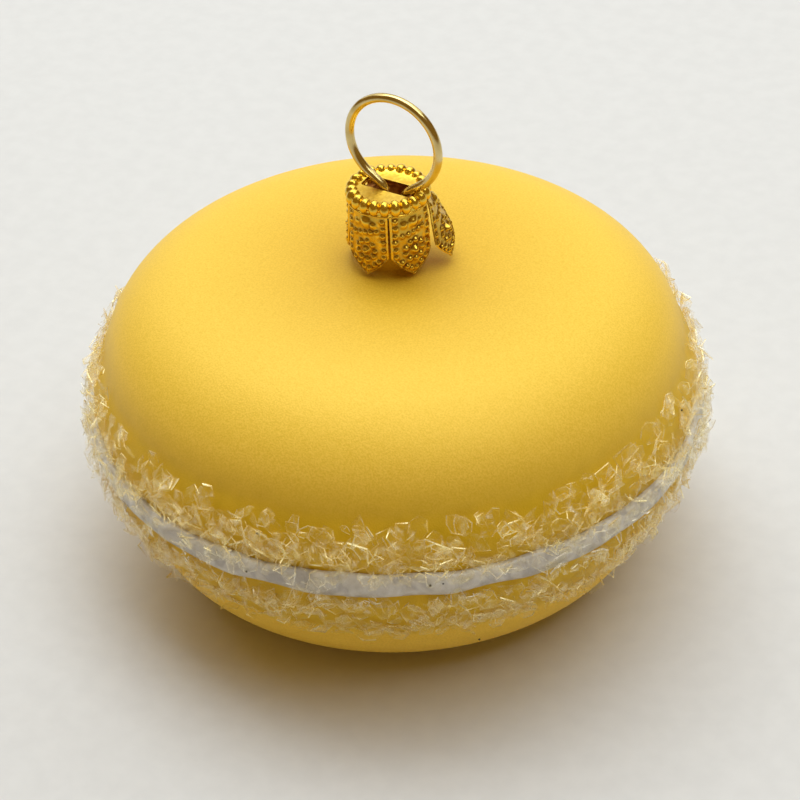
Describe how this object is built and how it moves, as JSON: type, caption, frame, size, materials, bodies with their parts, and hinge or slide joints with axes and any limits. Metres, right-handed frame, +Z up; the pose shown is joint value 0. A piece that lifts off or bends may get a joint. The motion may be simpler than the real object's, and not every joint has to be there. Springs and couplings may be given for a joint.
{
  "type": "macaron-shaped glass ornament",
  "caption": "Blown-glass hanging ornament in the shape of a macaron, with crushed-glass feet, a white enamel band, a stamped gold cap and a wire loop.",
  "frame": {"origin": "centre of the small flat spot under the glass that the ornament rests on", "axes": "+Z up along the ornament's axis of turning; the wire loop lies in the XZ plane"},
  "size_m": [0.0792, 0.0794, 0.0648],
  "materials": {
    "yellow_lacquer": "satin pearl lacquer on blown glass, with a fine sparkle",
    "white_enamel": "thick glossy white paint with soft brush waves",
    "gold_cap": "bright gold, stamped with beads and rosettes",
    "brass_wire": "drawn wire, plated, lightly tarnished",
    "crushed_glass": "clear thin slivers of crushed glass"
  },
  "bodies": {
    "root": {"glass_body": "yellow_lacquer", "enamel_band": "white_enamel", "gold_cap": "gold_cap", "hanger_wire": "brass_wire"}
  },
  "joints": []
}
